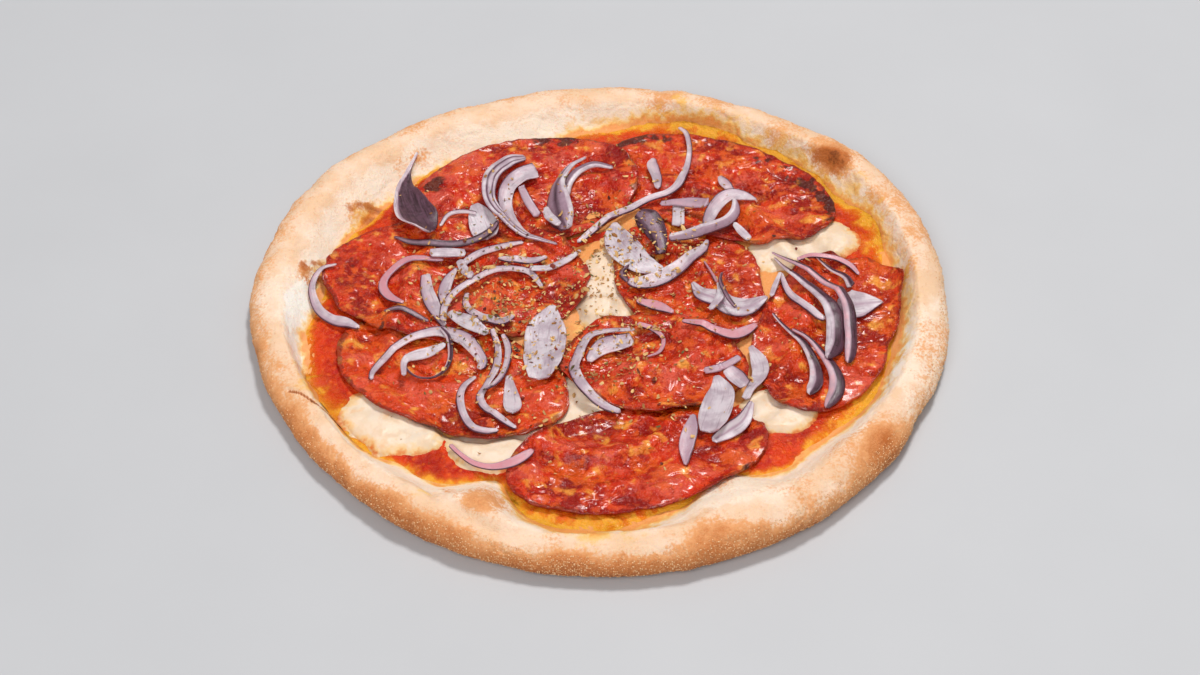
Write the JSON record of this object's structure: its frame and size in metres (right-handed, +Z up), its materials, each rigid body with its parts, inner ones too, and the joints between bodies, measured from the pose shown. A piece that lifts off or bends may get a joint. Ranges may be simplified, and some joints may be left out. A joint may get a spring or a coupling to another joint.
{
  "type": "whole salami pizza",
  "caption": "Whole uncut thin round pizza with a puffed baked rim, tomato sauce, melted mozzarella, overlapping oval spicy salami slices, red onion strips and dried herb flakes.",
  "frame": {"origin": "middle of the flat underside", "axes": "+Z up through the pizza; -Y towards the picture's camera, +X to its right"},
  "size_m": [0.2939, 0.2815, 0.0202],
  "materials": {
    "crust": "matte baked dough",
    "tomato_sauce": "wet pulpy sauce",
    "mozzarella": "soft melted cheese",
    "salami": "oily cured meat",
    "onion": "moist translucent onion"
  },
  "bodies": {
    "root": {"crust": "crust", "tomato_sauce": "tomato_sauce", "mozzarella_1": "mozzarella", "mozzarella_2": "mozzarella", "mozzarella_3": "mozzarella", "mozzarella_4": "mozzarella", "mozzarella_5": "mozzarella", "mozzarella_6": "mozzarella", "salami_1": "salami", "salami_2": "salami", "salami_3": "salami", "salami_4": "salami", "salami_5": "salami", "salami_6": "salami", "salami_7": "salami", "salami_8": "salami", "onion_petal_1": "onion", "onion_petal_2": "onion", "onion_petal_3": "onion", "onion_petal_4": "onion", "onion_petal_5": "onion", "onion_petal_6": "onion", "onion_petal_7": "onion", "onion_petal_8": "onion", "onion_petal_9": "onion", "onion_petal_10": "onion", "onion_petal_11": "onion", "onion_petal_12": "onion", "onion_strip_1": "onion", "onion_strip_2": "onion", "onion_strip_3": "onion", "onion_strip_4": "onion", "onion_strip_5": "onion", "onion_strip_6": "onion", "onion_strip_7": "onion", "onion_strip_8": "onion", "onion_strip_9": "onion", "onion_strip_10": "onion", "onion_strip_11": "onion", "onion_strip_12": "onion", "onion_strip_13": "onion", "onion_strip_14": "onion", "onion_strip_15": "onion", "onion_strip_16": "onion", "onion_strip_17": "onion", "onion_strip_18": "onion", "onion_strip_19": "onion", "onion_strip_20": "onion", "onion_strip_21": "onion", "onion_skin_1": "onion", "onion_skin_2": "onion", "onion_skin_3": "onion", "onion_arc_1": "onion", "onion_arc_2": "onion", "onion_arc_3": "onion", "onion_arc_4": "onion", "onion_arc_5": "onion", "onion_arc_6": "onion", "onion_arc_7": "onion", "onion_arc_8": "onion"}
  },
  "joints": []
}
